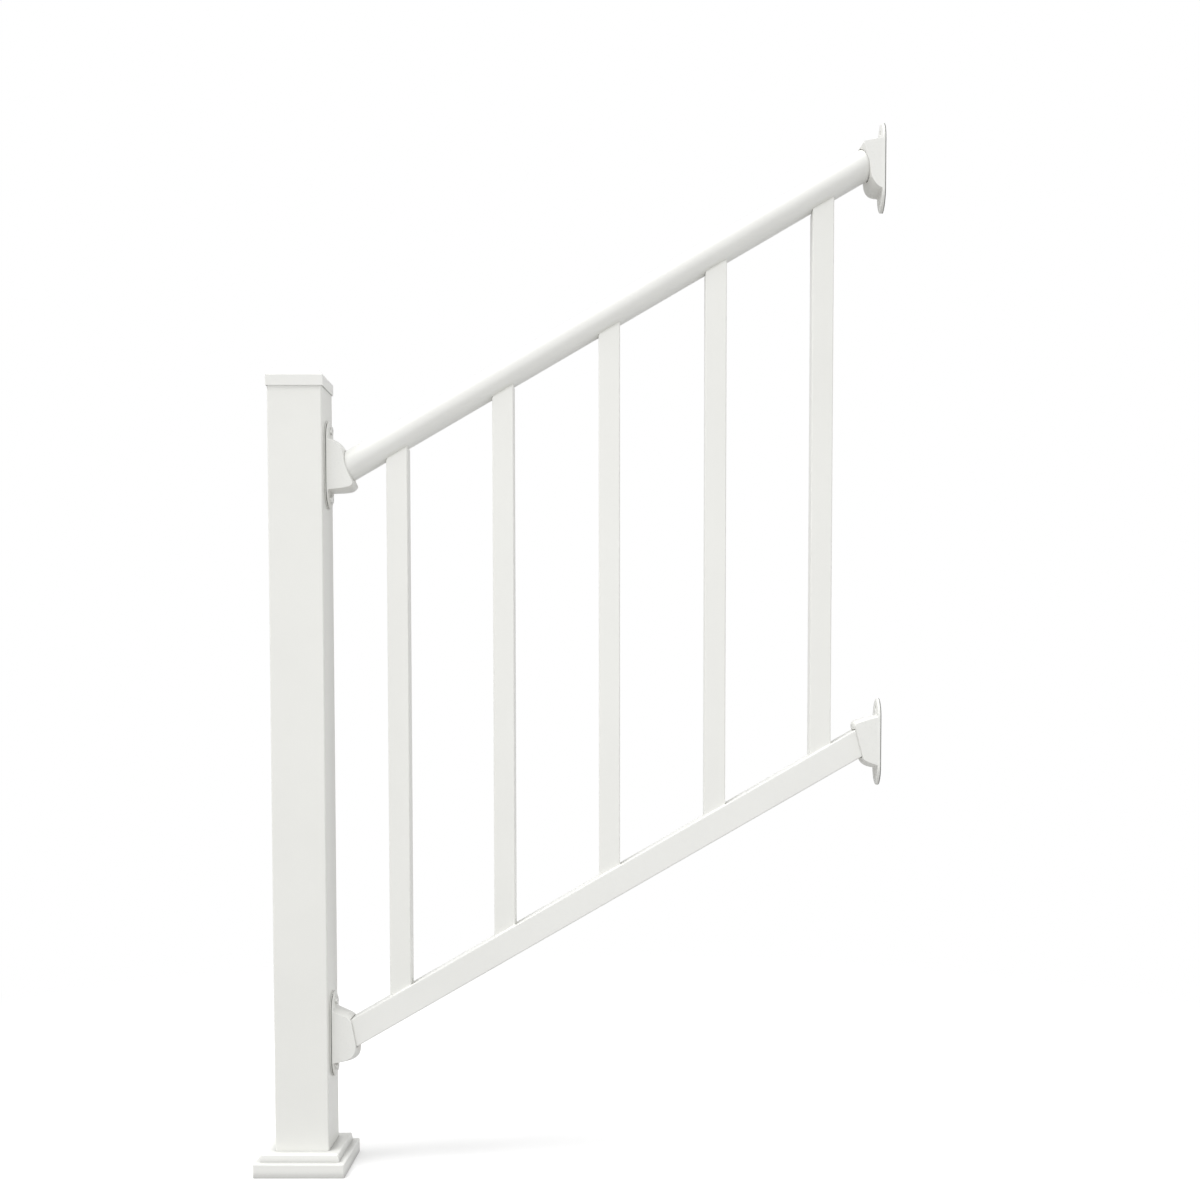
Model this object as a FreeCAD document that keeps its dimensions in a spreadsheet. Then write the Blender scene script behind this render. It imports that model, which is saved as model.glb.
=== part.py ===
import FreeCAD, Part
import os
import re
import Sketcher

# One sloped deck railing section: a capped post on a foot plate, a round handrail and a square
# bottom rail between cast end brackets, and square balusters cut at the rails' slope.
# Millimetres and degrees. The origin is at the centre of the post's foot, on the deck.
# +X runs along the railing, away from the post. +Z is up.

BALUSTERS = 5
CLOSE = 1e-6

SIZES = {
    "slope": (30, "rise of both rails, degrees"),
    "clear_span": (652.5, "post side to the far flanges' mounting faces"),
    "post_width": (63.5, "square post, outside"),
    "post_wall": (2.5, "post wall"),
    "post_corner": (2, "post corner radius"),
    "overall_height": (944.5, "deck to the top of the cap"),
    "cap_wall": (1.2, "cap side wall"),
    "cap_clearance": (0.15, "gap between cap and post, each side"),
    "cap_band": (12.3, "height of the cap's flat band"),
    "cap_bevel": (8.8, "height of the cap's bevel"),
    "cap_inset": (7.5, "how far the bevel runs in, each side"),
    "cap_roof": (2, "cap roof thickness"),
    "plate_width": (98, "square foot plate"),
    "plate_thickness": (8, "foot plate thickness"),
    "plate_corner": (6, "foot plate's cut corners"),
    "anchor_spacing": (76, "anchor hole spacing, both ways"),
    "anchor_bore": (9, "anchor hole diameter"),
    "weld_leg": (4, "leg of the fillet weld at the post's foot"),
    "weld_crest": (0.2, "width left at the top of that weld"),
    "skirt_width": (107, "square skirt, lower band"),
    "skirt_band": (16.8, "height of the skirt's lower band"),
    "skirt_ledge": (7.1, "ledge between the skirt's two steps"),
    "skirt_step": (9.2, "height of the skirt's upper step"),
    "skirt_lean": (1.4, "how far the upper step leans in"),
    "skirt_wall": (2, "skirt wall"),
    "skirt_clearance": (0.3, "gap between skirt and post, each side"),
    "skirt_edge": (1, "bevel of the skirt's outer edges"),
    "handrail_drop": (143, "top of the cap to the handrail's axis at the post's centre"),
    "handrail_diameter": (34.5, "round handrail, outside"),
    "handrail_wall": (2, "handrail wall"),
    "lower_rail_height": (128.8, "bottom rail axis above the deck at the post's centre"),
    "lower_rail_width": (31.5, "square bottom rail, outside"),
    "lower_rail_wall": (2, "bottom rail wall"),
    "lower_rail_corner": (1.5, "bottom rail corner radius"),
    "baluster_width": (25, "square baluster, outside"),
    "baluster_wall": (1.5, "baluster wall"),
    "baluster_corner": (1.5, "baluster corner radius"),
    "baluster_lead": (83.55, "post's side to the first baluster's centre"),
    "baluster_tail": (71, "last baluster's centre to the far flanges' mounting faces"),
    "flange_thickness": (4, "bracket flange plate"),
    "flange_width": (42, "bracket flange, across"),
    "flange_height": (103, "bracket flange, tip to tip"),
    "flange_straight": (56, "straight part of the flange's sides"),
    "flange_tip": (3, "rounding of the flange's tips"),
    "flange_edge": (0.8, "bevel of the flange's front edge"),
    "flange_screw_spacing": (80, "between the two screw holes of a flange"),
    "flange_bore": (5.5, "flange screw hole diameter"),
    "socket_width": (39, "bracket socket, across"),
    "socket_edge": (2, "bevel of the socket's long edges"),
    "socket_floor": (1, "metal between the rail's end corner and the flange plate"),
    "rail_clearance": (0.3, "gap between a rail and its socket"),
    "round_offset": (16.5, "handrail bracket: flange centre to the rail axis, where they cross"),
    "round_top": (30.7, "handrail bracket: flange centre to the socket's short edge, at the plate"),
    "round_fall": (2.5, "handrail bracket: how far that edge closes in towards the rim"),
    "round_bottom": (31.3, "handrail bracket: flange centre to the socket's long edge, at the plate"),
    "round_rise": (4.8, "handrail bracket: how far that edge closes in towards the rim"),
    "round_top_reach": (22.3, "handrail bracket: mounting face to the rim's near corner"),
    "round_bottom_reach": (32.4, "handrail bracket: mounting face to the rim's far corner"),
    "round_shoulder": (12, "handrail bracket: rounding of the near corner"),
    "round_lip": (6, "handrail bracket: rounding of the far corner"),
    "square_offset": (13.2, "bottom rail bracket: flange centre to the rail axis, where they cross"),
    "square_top": (32.2, "bottom rail bracket: flange centre to the socket's short edge, at the plate"),
    "square_fall": (10.4, "bottom rail bracket: how far that edge closes in towards the rim"),
    "square_bottom": (32.6, "bottom rail bracket: flange centre to the socket's long edge, at the plate"),
    "square_rise": (7.6, "bottom rail bracket: how far that edge closes in towards the rim"),
    "square_top_reach": (24.4, "bottom rail bracket: mounting face to the rim's near corner"),
    "square_bottom_reach": (32, "bottom rail bracket: mounting face to the rim's far corner"),
    "square_shoulder": (3, "bottom rail bracket: rounding of the near corner"),
    "square_lip": (8.5, "bottom rail bracket: rounding of the far corner"),
    "core_wall": (3, "metal left around the hollows in a bracket's back"),
    "core_width": (24, "width of those hollows"),
    "upper_core_depth": (8, "depth of the hollow beside the socket's short edge"),
    "lower_core_depth": (11, "depth of the hollow beside the socket's long edge"),
    "rail_screw_reach": (23, "mounting face to the rail screw, along the rail"),
    "screw_head": (9.4, "flange screw, head diameter"),
    "screw_height": (2.6, "flange screw, head height"),
    "screw_shank": (4.8, "flange screw, shank diameter"),
    "screw_length": (14, "flange screw, length under the head"),
    "small_screw_head": (7, "rail screw, head diameter"),
    "small_screw_height": (2.2, "rail screw, head height"),
    "small_screw_shank": (3.9, "rail screw, shank diameter"),
    "small_screw_length": (7, "rail screw, length under the head"),
    "screw_slack": (0.05, "gap between a shank and its hole, each side"),
    "drive_width": (2.7, "square drive recess"),
    "drive_depth": (1.5, "depth of that recess"),
}

# Heights of the two rail axes at a distance out from the post's centre line.
HANDRAIL_AXIS = "overall_height - handrail_drop"
LOWER_RAIL_AXIS = "lower_rail_height"

doc = FreeCAD.newDocument("railing_section")
pieces = []


# The sheet and the links to it

def fill_sheet():
    sheet = doc.addObject("Spreadsheet::Sheet", "Sizes")
    for row, (name, (number, note)) in enumerate(SIZES.items(), start=1):
        sheet.set(f"A{row}", name)
        sheet.set(f"B{row}", str(number))
        sheet.setAlias(f"B{row}", name)
        sheet.set(f"C{row}", note)
    doc.recompute()
    return sheet


def make_probe():
    """An object with one number, which reads expressions for the places that need plain numbers."""
    reader = doc.addObject("App::FeaturePython", "Probe")
    reader.addProperty("App::PropertyFloat", "Number", "Base", "The value of the last expression read")
    return reader


def with_sheet(text):
    """Puts the sheet's name before every word that is one of its aliases."""
    return re.sub(r"[a-z_]+", lambda word: f"Sizes.{word[0]}" if word[0] in SIZES else word[0], text)


def value(text):
    """The number that an expression of the sheet's names gives."""
    bind(probe, "Number", text)
    probe.recompute()
    return probe.Number


def bind(item, prop, text):
    item.setExpression(prop, with_sheet(text))


# Sketches

def sketch_on(body, role, label, lift=None):
    """A sketch on one of the body's own origin planes, lifted along the plane's normal."""
    plane = [feature for feature in body.Origin.OriginFeatures if feature.Role == role][0]
    sketch = body.newObject("Sketcher::SketchObject", f"{body.Label}_{label}")
    sketch.AttachmentSupport = [(plane, "")]
    sketch.MapMode = "FlatFace"
    if lift:
        bind(sketch, "AttachmentOffset.Base.z", lift)
    return sketch


def place_point(sketch, geometry, end, corner):
    """Holds one point of a sketch at two expressions measured from the sketch's origin."""
    for axis, text in zip("XY", corner):
        constraint = Sketcher.Constraint(f"Distance{axis}", -1, 1, geometry, end, value(text))
        name = f"{axis}_{geometry}_{end}"
        sketch.renameConstraint(sketch.addConstraint(constraint), name)
        bind(sketch, f"Constraints.{name}", text)


def polygon(sketch, corners):
    """A closed run of straight lines. Each corner is a pair of expressions."""
    first = sketch.GeometryCount
    points = [FreeCAD.Vector(value(across), value(up), 0) for across, up in corners]
    for start, end in zip(points, points[1:] + points[:1]):
        sketch.addGeometry(Part.LineSegment(start, end))
    for index, corner in enumerate(corners):
        following = first + (index + 1) % len(corners)
        sketch.addConstraint(Sketcher.Constraint("Coincident", first + index, 2, following, 1))
        place_point(sketch, first + index, 1, corner)


def rectangle(sketch, across, up):
    """A rectangle centred on the sketch's origin, from its two whole widths."""
    left, right = f"-({across}) / 2", f"({across}) / 2"
    low, high = f"-({up}) / 2", f"({up}) / 2"
    polygon(sketch, [(left, low), (right, low), (right, high), (left, high)])


def circle(sketch, centre, diameter):
    middle = FreeCAD.Vector(value(centre[0]), value(centre[1]), 0)
    index = sketch.addGeometry(Part.Circle(middle, FreeCAD.Vector(0, 0, 1), value(diameter) / 2))
    place_point(sketch, index, 3, centre)
    name = f"diameter_{index}"
    constraint = Sketcher.Constraint("Diameter", index, value(diameter))
    sketch.renameConstraint(sketch.addConstraint(constraint), name)
    bind(sketch, f"Constraints.{name}", diameter)


# Features

def new_body(label):
    body = doc.addObject("PartDesign::Body", label)
    body.Label = label
    pieces.append(body)
    return body


def finish_feature(body, feature, removes, base=None):
    """Recomputes, and stops the build where a feature adds or removes nothing."""
    base = base or feature.BaseFeature
    before = base.Shape.Volume if base else 0
    doc.recompute()
    change = feature.Shape.Volume - before
    if (change >= 0) == removes:
        raise ValueError(f"{feature.Label} changed the volume by {change:.2f}")
    body.Tip = feature
    return feature


def pad(body, sketch, length, both_ways=False, taper=None, reverse=False):
    feature = body.newObject("PartDesign::Pad", f"{sketch.Label}_pad")
    feature.Profile = sketch
    feature.SideType = "Symmetric" if both_ways else "One side"
    feature.Reversed = reverse
    bind(feature, "Length", length)
    if taper:
        bind(feature, "TaperAngle", taper)
    return finish_feature(body, feature, removes=False)


def pocket(body, sketch, depth=None, both_ways=False, taper=None, reverse=False):
    feature = body.newObject("PartDesign::Pocket", f"{sketch.Label}_pocket")
    feature.Profile = sketch
    feature.SideType = "Symmetric" if both_ways else "One side"
    feature.Reversed = reverse
    if depth:
        bind(feature, "Length", depth)
    else:
        feature.Type = "ThroughAll"
    if taper:
        bind(feature, "TaperAngle", taper)
    return finish_feature(body, feature, removes=True)


def turn(body, sketch, kind):
    """A full Revolution or Groove about the sketch's own horizontal axis."""
    feature = body.newObject(f"PartDesign::{kind}", f"{sketch.Label}_turn")
    feature.Profile = sketch
    feature.ReferenceAxis = (sketch, ["H_Axis"])
    feature.Angle = 360
    return finish_feature(body, feature, removes=kind == "Groove")


def edge_names(feature, wanted):
    """The names of the feature's edges that the test accepts."""
    return [f"Edge{number}" for number, edge in enumerate(feature.Shape.Edges, start=1) if wanted(edge)]


def round_edges(body, base, wanted, radius, label):
    feature = body.newObject("PartDesign::Fillet", f"{body.Label}_{label}")
    feature.Base = (base, edge_names(base, wanted))
    bind(feature, "Radius", radius)
    return finish_feature(body, feature, removes=True)


def bevel_edges(body, base, wanted, width, label, second=None):
    """An even bevel, or one that goes a second distance down the other face."""
    feature = body.newObject("PartDesign::Chamfer", f"{body.Label}_{label}")
    feature.Base = (base, edge_names(base, wanted))
    bind(feature, "Size", width)
    if second:
        feature.ChamferType = "Two distances"
        bind(feature, "Size2", second)
    return finish_feature(body, feature, removes=True)


def runs_along(direction):
    """A test for straight edges that lie along one direction."""
    def wanted(edge):
        if edge.Curve.TypeId != "Part::GeomLine":
            return False
        return abs(abs(edge.Curve.Direction.dot(direction)) - 1) < CLOSE
    return wanted


X_WAY = FreeCAD.Vector(1, 0, 0)
Y_WAY = FreeCAD.Vector(0, 1, 0)
Z_WAY = FreeCAD.Vector(0, 0, 1)


def set_place(body, x="0", y="0", z="0", axis=Z_WAY, angle="0"):
    body.Placement = FreeCAD.Placement(FreeCAD.Vector(), FreeCAD.Rotation(axis, value(angle)))
    if angle != "0":
        bind(body, "Placement.Rotation.Angle", angle)
    for letter, text in zip("xyz", (x, y, z)):
        bind(body, f"Placement.Base.{letter}", text)


# Lengths that several pieces share

def axis_height(rail_axis, out):
    """Height of a rail's axis at a distance out from the post's centre."""
    return f"{rail_axis} + ({out}) * tan(slope)"


SLOPED_SPAN = "clear_span / cos(slope)"


def floor_reach(half):
    """Mounting face to the socket's floor, along the rail: the rail's near corner just clears."""
    return f"(flange_thickness + socket_floor) / cos(slope) + ({half}) * tan(slope)"


HANDRAIL_HALF = "handrail_diameter / 2"
LOWER_RAIL_HALF = "lower_rail_width / 2"


# Post

def make_square_tube(label, role, along, width, wall, corner, length):
    body = new_body(label)
    outside = sketch_on(body, role, "outside")
    rectangle(outside, width, width)
    bar = pad(body, outside, length)
    round_edges(body, bar, runs_along(along), corner, "corners")
    inside = sketch_on(body, role, "inside")
    rectangle(inside, f"{width} - 2 * {wall}", f"{width} - 2 * {wall}")
    pocket(body, inside, reverse=True)
    return body


def make_post():
    length = "overall_height - cap_bevel - cap_roof - plate_thickness"
    body = make_square_tube("post_tube", "XY_Plane", Z_WAY, "post_width", "post_wall", "post_corner", length)
    for name, rail_axis, casting in (("upper", HANDRAIL_AXIS, "round"), ("lower", LOWER_RAIL_AXIS, "square")):
        holes = sketch_on(body, "YZ_Plane", f"{name}_screw_holes")
        middle = axis_height(rail_axis, "post_width / 2") + f" + {casting}_offset - plate_thickness"
        for side in ("+", "-"):
            centre = ("0", f"{middle} {side} flange_screw_spacing / 2")
            circle(holes, centre, "screw_shank + 2 * screw_slack")
        pocket(body, holes, reverse=True)
    set_place(body, z="plate_thickness")


def make_base_plate():
    body = new_body("base_plate")
    outline = sketch_on(body, "XY_Plane", "outline")
    rectangle(outline, "plate_width", "plate_width")
    slab = pad(body, outline, "plate_thickness")
    bevel_edges(body, slab, runs_along(Z_WAY), "plate_corner", "corners")
    hole = sketch_on(body, "XY_Plane", "anchor")
    circle(hole, ("anchor_spacing / 2", "anchor_spacing / 2"), "anchor_bore")
    first = pocket(body, hole, reverse=True)
    pattern = body.newObject("PartDesign::PolarPattern", "anchor_pattern")
    pattern.Originals = [first]
    pattern.Axis = ([item for item in body.Origin.OriginFeatures if item.Role == "Z_Axis"][0], [""])
    pattern.Angle = 360
    pattern.Occurrences = 4
    finish_feature(body, pattern, removes=True, base=first)
    set_place(body)


def make_weld():
    """A square ring of fillet weld: it leans in at 45 degrees from the plate to the post."""
    body = new_body("post_weld")
    outside = sketch_on(body, "XY_Plane", "outside")
    rectangle(outside, "post_width + 2 * weld_leg", "post_width + 2 * weld_leg")
    pad(body, outside, "weld_leg - weld_crest", taper="-45")
    inside = sketch_on(body, "XY_Plane", "inside")
    rectangle(inside, "post_width", "post_width")
    pocket(body, inside, reverse=True)
    set_place(body, z="plate_thickness")


def make_skirt():
    body = new_body("base_skirt")
    lean = "-atan(skirt_lean / skirt_step)"
    step_width = "(skirt_width - 2 * skirt_ledge)"
    band = sketch_on(body, "XY_Plane", "band")
    rectangle(band, "skirt_width", "skirt_width")
    pad(body, band, "skirt_band")
    step = sketch_on(body, "XY_Plane", "step", lift="skirt_band")
    rectangle(step, step_width, step_width)
    solid = pad(body, step, "skirt_step", taper=lean)
    top, ledge = value("skirt_band + skirt_step"), value("skirt_band")
    corner, inner = value("skirt_width / 2"), value(step_width + " / 2")

    def outer_edge(edge):
        box = edge.BoundBox
        at_top = abs(box.ZMin - top) < CLOSE
        at_ledge = abs(box.ZMin - ledge) < CLOSE and max(box.XMax, -box.XMin, box.YMax, -box.YMin) > inner + CLOSE
        upright = box.ZMin < CLOSE < box.ZMax and abs(box.XMax) > corner - CLOSE
        return at_top or (at_ledge and box.ZMax < top - CLOSE) or upright

    bevel_edges(body, solid, outer_edge, "skirt_edge", "edges")
    hollow = sketch_on(body, "XY_Plane", "hollow")
    rectangle(hollow, "skirt_width - 2 * skirt_wall", "skirt_width - 2 * skirt_wall")
    pocket(body, hollow, "skirt_band - skirt_wall", reverse=True)
    neck = sketch_on(body, "XY_Plane", "neck")
    neck_width = f"{step_width} - 2 * skirt_wall - 2 * skirt_lean"
    rectangle(neck, neck_width, neck_width)
    pocket(body, neck, "skirt_band + skirt_step - skirt_wall", reverse=True)
    opening = sketch_on(body, "XY_Plane", "opening")
    rectangle(opening, "post_width + 2 * skirt_clearance", "post_width + 2 * skirt_clearance")
    pocket(body, opening, reverse=True)
    set_place(body)


def make_cap():
    """A slip-over cap. Its foot is the lower edge of the band, and the post's end meets its roof."""
    body = new_body("post_cap")
    inside = "(post_width + 2 * cap_clearance)"
    outside = f"({inside} + 2 * cap_wall)"
    outline = sketch_on(body, "XY_Plane", "outline")
    rectangle(outline, outside, outside)
    block = pad(body, outline, "cap_band + cap_bevel")
    top = value("cap_band + cap_bevel")

    def top_edge(edge):
        return edge.BoundBox.ZMin > top - CLOSE

    bevel_edges(body, block, top_edge, "cap_bevel", "bevel", second="cap_inset")
    socket = sketch_on(body, "XY_Plane", "socket")
    rectangle(socket, inside, inside)
    pocket(body, socket, "cap_band - cap_roof", reverse=True)
    hollow = sketch_on(body, "XY_Plane", "hollow")
    hollow_width = f"{outside} - 2 * cap_inset - 2 * cap_roof"
    rectangle(hollow, hollow_width, hollow_width)
    pocket(body, hollow, "cap_band + cap_bevel - cap_roof", reverse=True)
    set_place(body, z="overall_height - cap_bevel - cap_band")


# Rails and balusters

def place_rail(body, rail_axis, half):
    """Lays a piece made along its own X on a rail's axis, its end just off the socket's floor."""
    start = f"({floor_reach(half)} + rail_clearance)"
    set_place(
        body,
        x=f"post_width / 2 + {start} * cos(slope)",
        z=axis_height(rail_axis, "post_width / 2") + f" + {start} * sin(slope)",
        axis=FreeCAD.Vector(0, -1, 0),
        angle="slope",
    )


def rail_length(half):
    return f"{SLOPED_SPAN} - 2 * ({floor_reach(half)} + rail_clearance)"


def drill_rail(body, half):
    """A screw hole near each end, through the far wall only."""
    holes = sketch_on(body, "XZ_Plane", "screw_holes")
    near = f"rail_screw_reach - ({floor_reach(half)}) - rail_clearance"
    for across in (near, f"{rail_length(half)} - ({near})"):
        circle(holes, (across, "0"), "small_screw_shank + 2 * screw_slack")
    pocket(body, holes)


def make_handrail():
    body = new_body("handrail")
    ring = sketch_on(body, "YZ_Plane", "ring")
    circle(ring, ("0", "0"), "handrail_diameter")
    circle(ring, ("0", "0"), "handrail_diameter - 2 * handrail_wall")
    pad(body, ring, rail_length(HANDRAIL_HALF))
    drill_rail(body, HANDRAIL_HALF)
    place_rail(body, HANDRAIL_AXIS, HANDRAIL_HALF)


def make_bottom_rail():
    body = make_square_tube(
        "bottom_rail", "YZ_Plane", X_WAY,
        "lower_rail_width", "lower_rail_wall", "lower_rail_corner", rail_length(LOWER_RAIL_HALF),
    )
    drill_rail(body, LOWER_RAIL_HALF)
    place_rail(body, LOWER_RAIL_AXIS, LOWER_RAIL_HALF)


def make_baluster(number):
    """A square tube whose two ends are cut along the rails, from the rails' own lines."""
    body = new_body(f"baluster_{number + 1}")
    pitch = f"(clear_span - baluster_lead - baluster_tail) / {BALUSTERS - 1}"
    out = f"(post_width / 2 + baluster_lead + {number} * {pitch})"
    foot = f"{axis_height(LOWER_RAIL_AXIS, out)} + {LOWER_RAIL_HALF} / cos(slope)"
    head = f"{axis_height(HANDRAIL_AXIS, out)} - {HANDRAIL_HALF} / cos(slope)"
    half = "baluster_width / 2"
    skew = f"{half} * tan(slope)"
    height = f"({head}) - ({foot})"
    side = sketch_on(body, "XZ_Plane", "side")
    polygon(side, [
        (f"-{half}", f"-{skew}"),
        (half, skew),
        (half, f"{height} + {skew}"),
        (f"-{half}", f"{height} - {skew}"),
    ])
    bar = pad(body, side, "baluster_width", both_ways=True)
    round_edges(body, bar, runs_along(Z_WAY), "baluster_corner", "corners")
    inside = sketch_on(body, "XY_Plane", "inside", lift=f"({height}) / 2")
    rectangle(inside, "baluster_width - 2 * baluster_wall", "baluster_width - 2 * baluster_wall")
    pocket(body, inside, f"{height} + 2 * baluster_width", both_ways=True)
    set_place(body, x=out, z=foot)


# End brackets

def flange_outline(sketch):
    """Straight sides and pointed ends. Each end is two arcs that meet at the tip."""
    half, spring, tip = "flange_width / 2", "flange_straight / 2", "flange_height / 2"
    corners = [
        (half, f"-{spring}"), (half, spring), ("0", tip),
        (f"-{half}", spring), (f"-{half}", f"-{spring}"), ("0", f"-{tip}"),
    ]
    points = [FreeCAD.Vector(value(across), value(up), 0) for across, up in corners]
    reach, rise = value(half), value(tip) - value(spring)
    radius = (reach ** 2 + rise ** 2) / (2 * reach)
    for index, start in enumerate(points):
        end = points[(index + 1) % len(points)]
        if start.x == end.x:
            sketch.addGeometry(Part.LineSegment(start, end))
            continue
        # The arc is level with the end of its straight side, which gives its centre.
        side = start if start.x else end
        centre = FreeCAD.Vector(side.x - radius * side.x / reach, side.y, 0)
        outward = ((start + end) / 2 - centre).normalize()
        sketch.addGeometry(Part.Arc(start, centre + outward * radius, end))
    for index, corner in enumerate(corners):
        following = (index + 1) % len(corners)
        kind = "Coincident" if index in (1, 4) else "Tangent"
        sketch.addConstraint(Sketcher.Constraint(kind, index, 2, following, 1))
        place_point(sketch, index, 1, corner)


def cut_socket(body, casting, half):
    """The blind socket that a rail's end sits in, along the rail's own slope."""
    sketch = sketch_on(body, "XZ_Plane", "socket")
    bind(sketch, "AttachmentOffset.Base.y", f"-{casting}_offset")
    bind(sketch, "AttachmentOffset.Rotation.Angle", "slope")
    floor, mouth = floor_reach(half), f"{casting}_bottom_reach + flange_height"
    across = f"({half} + rail_clearance)"
    if casting == "round":
        polygon(sketch, [(floor, "0"), (mouth, "0"), (mouth, across), (floor, across)])
        return turn(body, sketch, "Groove")
    polygon(sketch, [(floor, f"-{across}"), (mouth, f"-{across}"), (mouth, across), (floor, across)])
    return pocket(body, sketch, f"2 * {across}", both_ways=True)


def cut_back_hollow(body, label, low, high, depth):
    """One of the cored hollows in the mounting face, as castings of even thickness have."""
    sketch = sketch_on(body, "YZ_Plane", label)
    edge = "core_width / 2"
    polygon(sketch, [(f"-{edge}", low), (edge, low), (edge, high), (f"-{edge}", high)])
    return pocket(body, sketch, depth, reverse=True)


def cast_flange(body):
    """The pointed plate, its tips rounded and its front edge bevelled."""
    flange = sketch_on(body, "YZ_Plane", "flange")
    flange_outline(flange)
    plate = pad(body, flange, "flange_thickness")
    tip, front = value("flange_height / 2"), value("flange_thickness")

    def at_tip(edge):
        return runs_along(X_WAY)(edge) and abs(abs(edge.CenterOfMass.z) - tip) < CLOSE

    def on_front(edge):
        return edge.BoundBox.XMin > front - CLOSE

    tips = round_edges(body, plate, at_tip, "flange_tip", "tips")
    bevel_edges(body, tips, on_front, "flange_edge", "front_edge")


def cast_block(body, casting):
    """The block that stands on the flange, its rim's two corners rounded, its long edges bevelled."""
    side = sketch_on(body, "XZ_Plane", "side")
    polygon(side, [
        ("flange_thickness / 2", f"-{casting}_bottom"),
        (f"{casting}_bottom_reach", f"{casting}_rise - {casting}_bottom"),
        (f"{casting}_top_reach", f"{casting}_top - {casting}_fall"),
        ("flange_thickness / 2", f"{casting}_top"),
    ])
    block = pad(body, side, "socket_width", both_ways=True)
    front, cheek = value("flange_thickness"), value("socket_width / 2")

    def at_rim(edge):
        return runs_along(Y_WAY)(edge) and edge.CenterOfMass.x > front + CLOSE

    def upper_corner(edge):
        return at_rim(edge) and edge.CenterOfMass.z > 0

    def lower_corner(edge):
        return at_rim(edge) and edge.CenterOfMass.z < 0

    def long_edge(edge):
        box = edge.BoundBox
        on_cheek = box.YMax - box.YMin < CLOSE and abs(abs(box.YMax) - cheek) < CLOSE
        return on_cheek and box.XMin > front - CLOSE and box.XMax > front + CLOSE

    shoulder = round_edges(body, block, upper_corner, f"{casting}_shoulder", "shoulder")
    lip = round_edges(body, shoulder, lower_corner, f"{casting}_lip", "lip")
    bevel_edges(body, lip, long_edge, "socket_edge", "long_edges")


def core_back(body, casting, half):
    """Two hollows in the mounting face, above and below the socket's floor."""
    above = f"{casting}_offset - ({half} + rail_clearance) / cos(slope)"
    cut_back_hollow(
        body, "upper_hollow", f"upper_core_depth * tan(slope) - ({above}) + core_wall",
        f"{casting}_top - {casting}_fall - core_wall", "upper_core_depth",
    )
    cut_back_hollow(
        body, "lower_hollow", f"{casting}_rise + core_wall - {casting}_bottom",
        f"-{casting}_offset - core_wall", "lower_core_depth",
    )


def cut_screw_holes(body):
    """A hole near each tip of the flange."""
    holes = sketch_on(body, "YZ_Plane", "screw_holes")
    for side in ("", "-"):
        circle(holes, ("0", f"{side}flange_screw_spacing / 2"), "flange_bore")
    pocket(body, holes, reverse=True)


def make_bracket(label, casting, half, place):
    """A cast end bracket, made at its mounting face: X out of that face, Z up the flange."""
    body = new_body(label)
    cast_flange(body)
    cast_block(body, casting)
    cut_socket(body, casting, half)
    core_back(body, casting, half)
    cut_screw_holes(body)
    fixing = sketch_on(body, "XZ_Plane", "fixing_hole")
    centre = ("rail_screw_reach * cos(slope)", f"rail_screw_reach * sin(slope) - {casting}_offset")
    circle(fixing, centre, "small_screw_shank + 2 * screw_slack")
    pocket(body, fixing)
    place(body)


def post_side(rail_axis, casting):
    def place(body):
        height = axis_height(rail_axis, "post_width / 2") + f" + {casting}_offset"
        set_place(body, x="post_width / 2", z=height)
    return place


def wall_side(rail_axis, casting):
    """The same casting turned half a turn about Y, with its mounting face towards +X."""
    def place(body):
        out = "post_width / 2 + clear_span"
        height = axis_height(rail_axis, out) + f" - {casting}_offset"
        set_place(body, x=out, z=height, axis=Y_WAY, angle="180")
    return place


def make_brackets():
    rails = (
        ("upper", HANDRAIL_AXIS, "round", HANDRAIL_HALF),
        ("lower", LOWER_RAIL_AXIS, "square", LOWER_RAIL_HALF),
    )
    for name, rail_axis, casting, half in rails:
        make_bracket(f"bracket_post_{name}", casting, half, post_side(rail_axis, casting))
        make_bracket(f"bracket_wall_{name}", casting, half, wall_side(rail_axis, casting))


# Screws, each made along its own X in the direction it is driven

def make_screw(label, kind):
    """A pan-headed screw with a square recess, its head's top at the origin."""
    body = new_body(label)
    profile = sketch_on(body, "XZ_Plane", "profile")
    head, shank, height = f"{kind}_head / 2", f"{kind}_shank / 2", f"{kind}_height"
    end = f"{height} + {kind}_length"
    polygon(profile, [("0", "0"), (end, "0"), (end, shank), (height, shank), (height, head), ("0", head)])
    turn(body, profile, "Revolution")
    recess = sketch_on(body, "YZ_Plane", "drive")
    rectangle(recess, "drive_width", "drive_width")
    pocket(body, recess, "drive_depth", reverse=True)
    return body


def make_flange_screw(label, rail_axis, casting, side):
    """Through a flange's hole into the post's wall."""
    middle = axis_height(rail_axis, "post_width / 2") + f" + {casting}_offset"
    set_place(
        make_screw(label, "screw"),
        x="post_width / 2 + flange_thickness + screw_height",
        z=f"{middle} {side} flange_screw_spacing / 2",
        angle="180",
    )


def make_rail_screw(label, rail_axis, out, way):
    """Through the back cheek of a socket into its rail's wall."""
    along = f"{out} {way} rail_screw_reach * cos(slope)"
    set_place(
        make_screw(label, "small_screw"),
        x=along,
        y="socket_width / 2 + small_screw_height",
        z=axis_height(rail_axis, along),
        angle="-90",
    )


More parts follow.
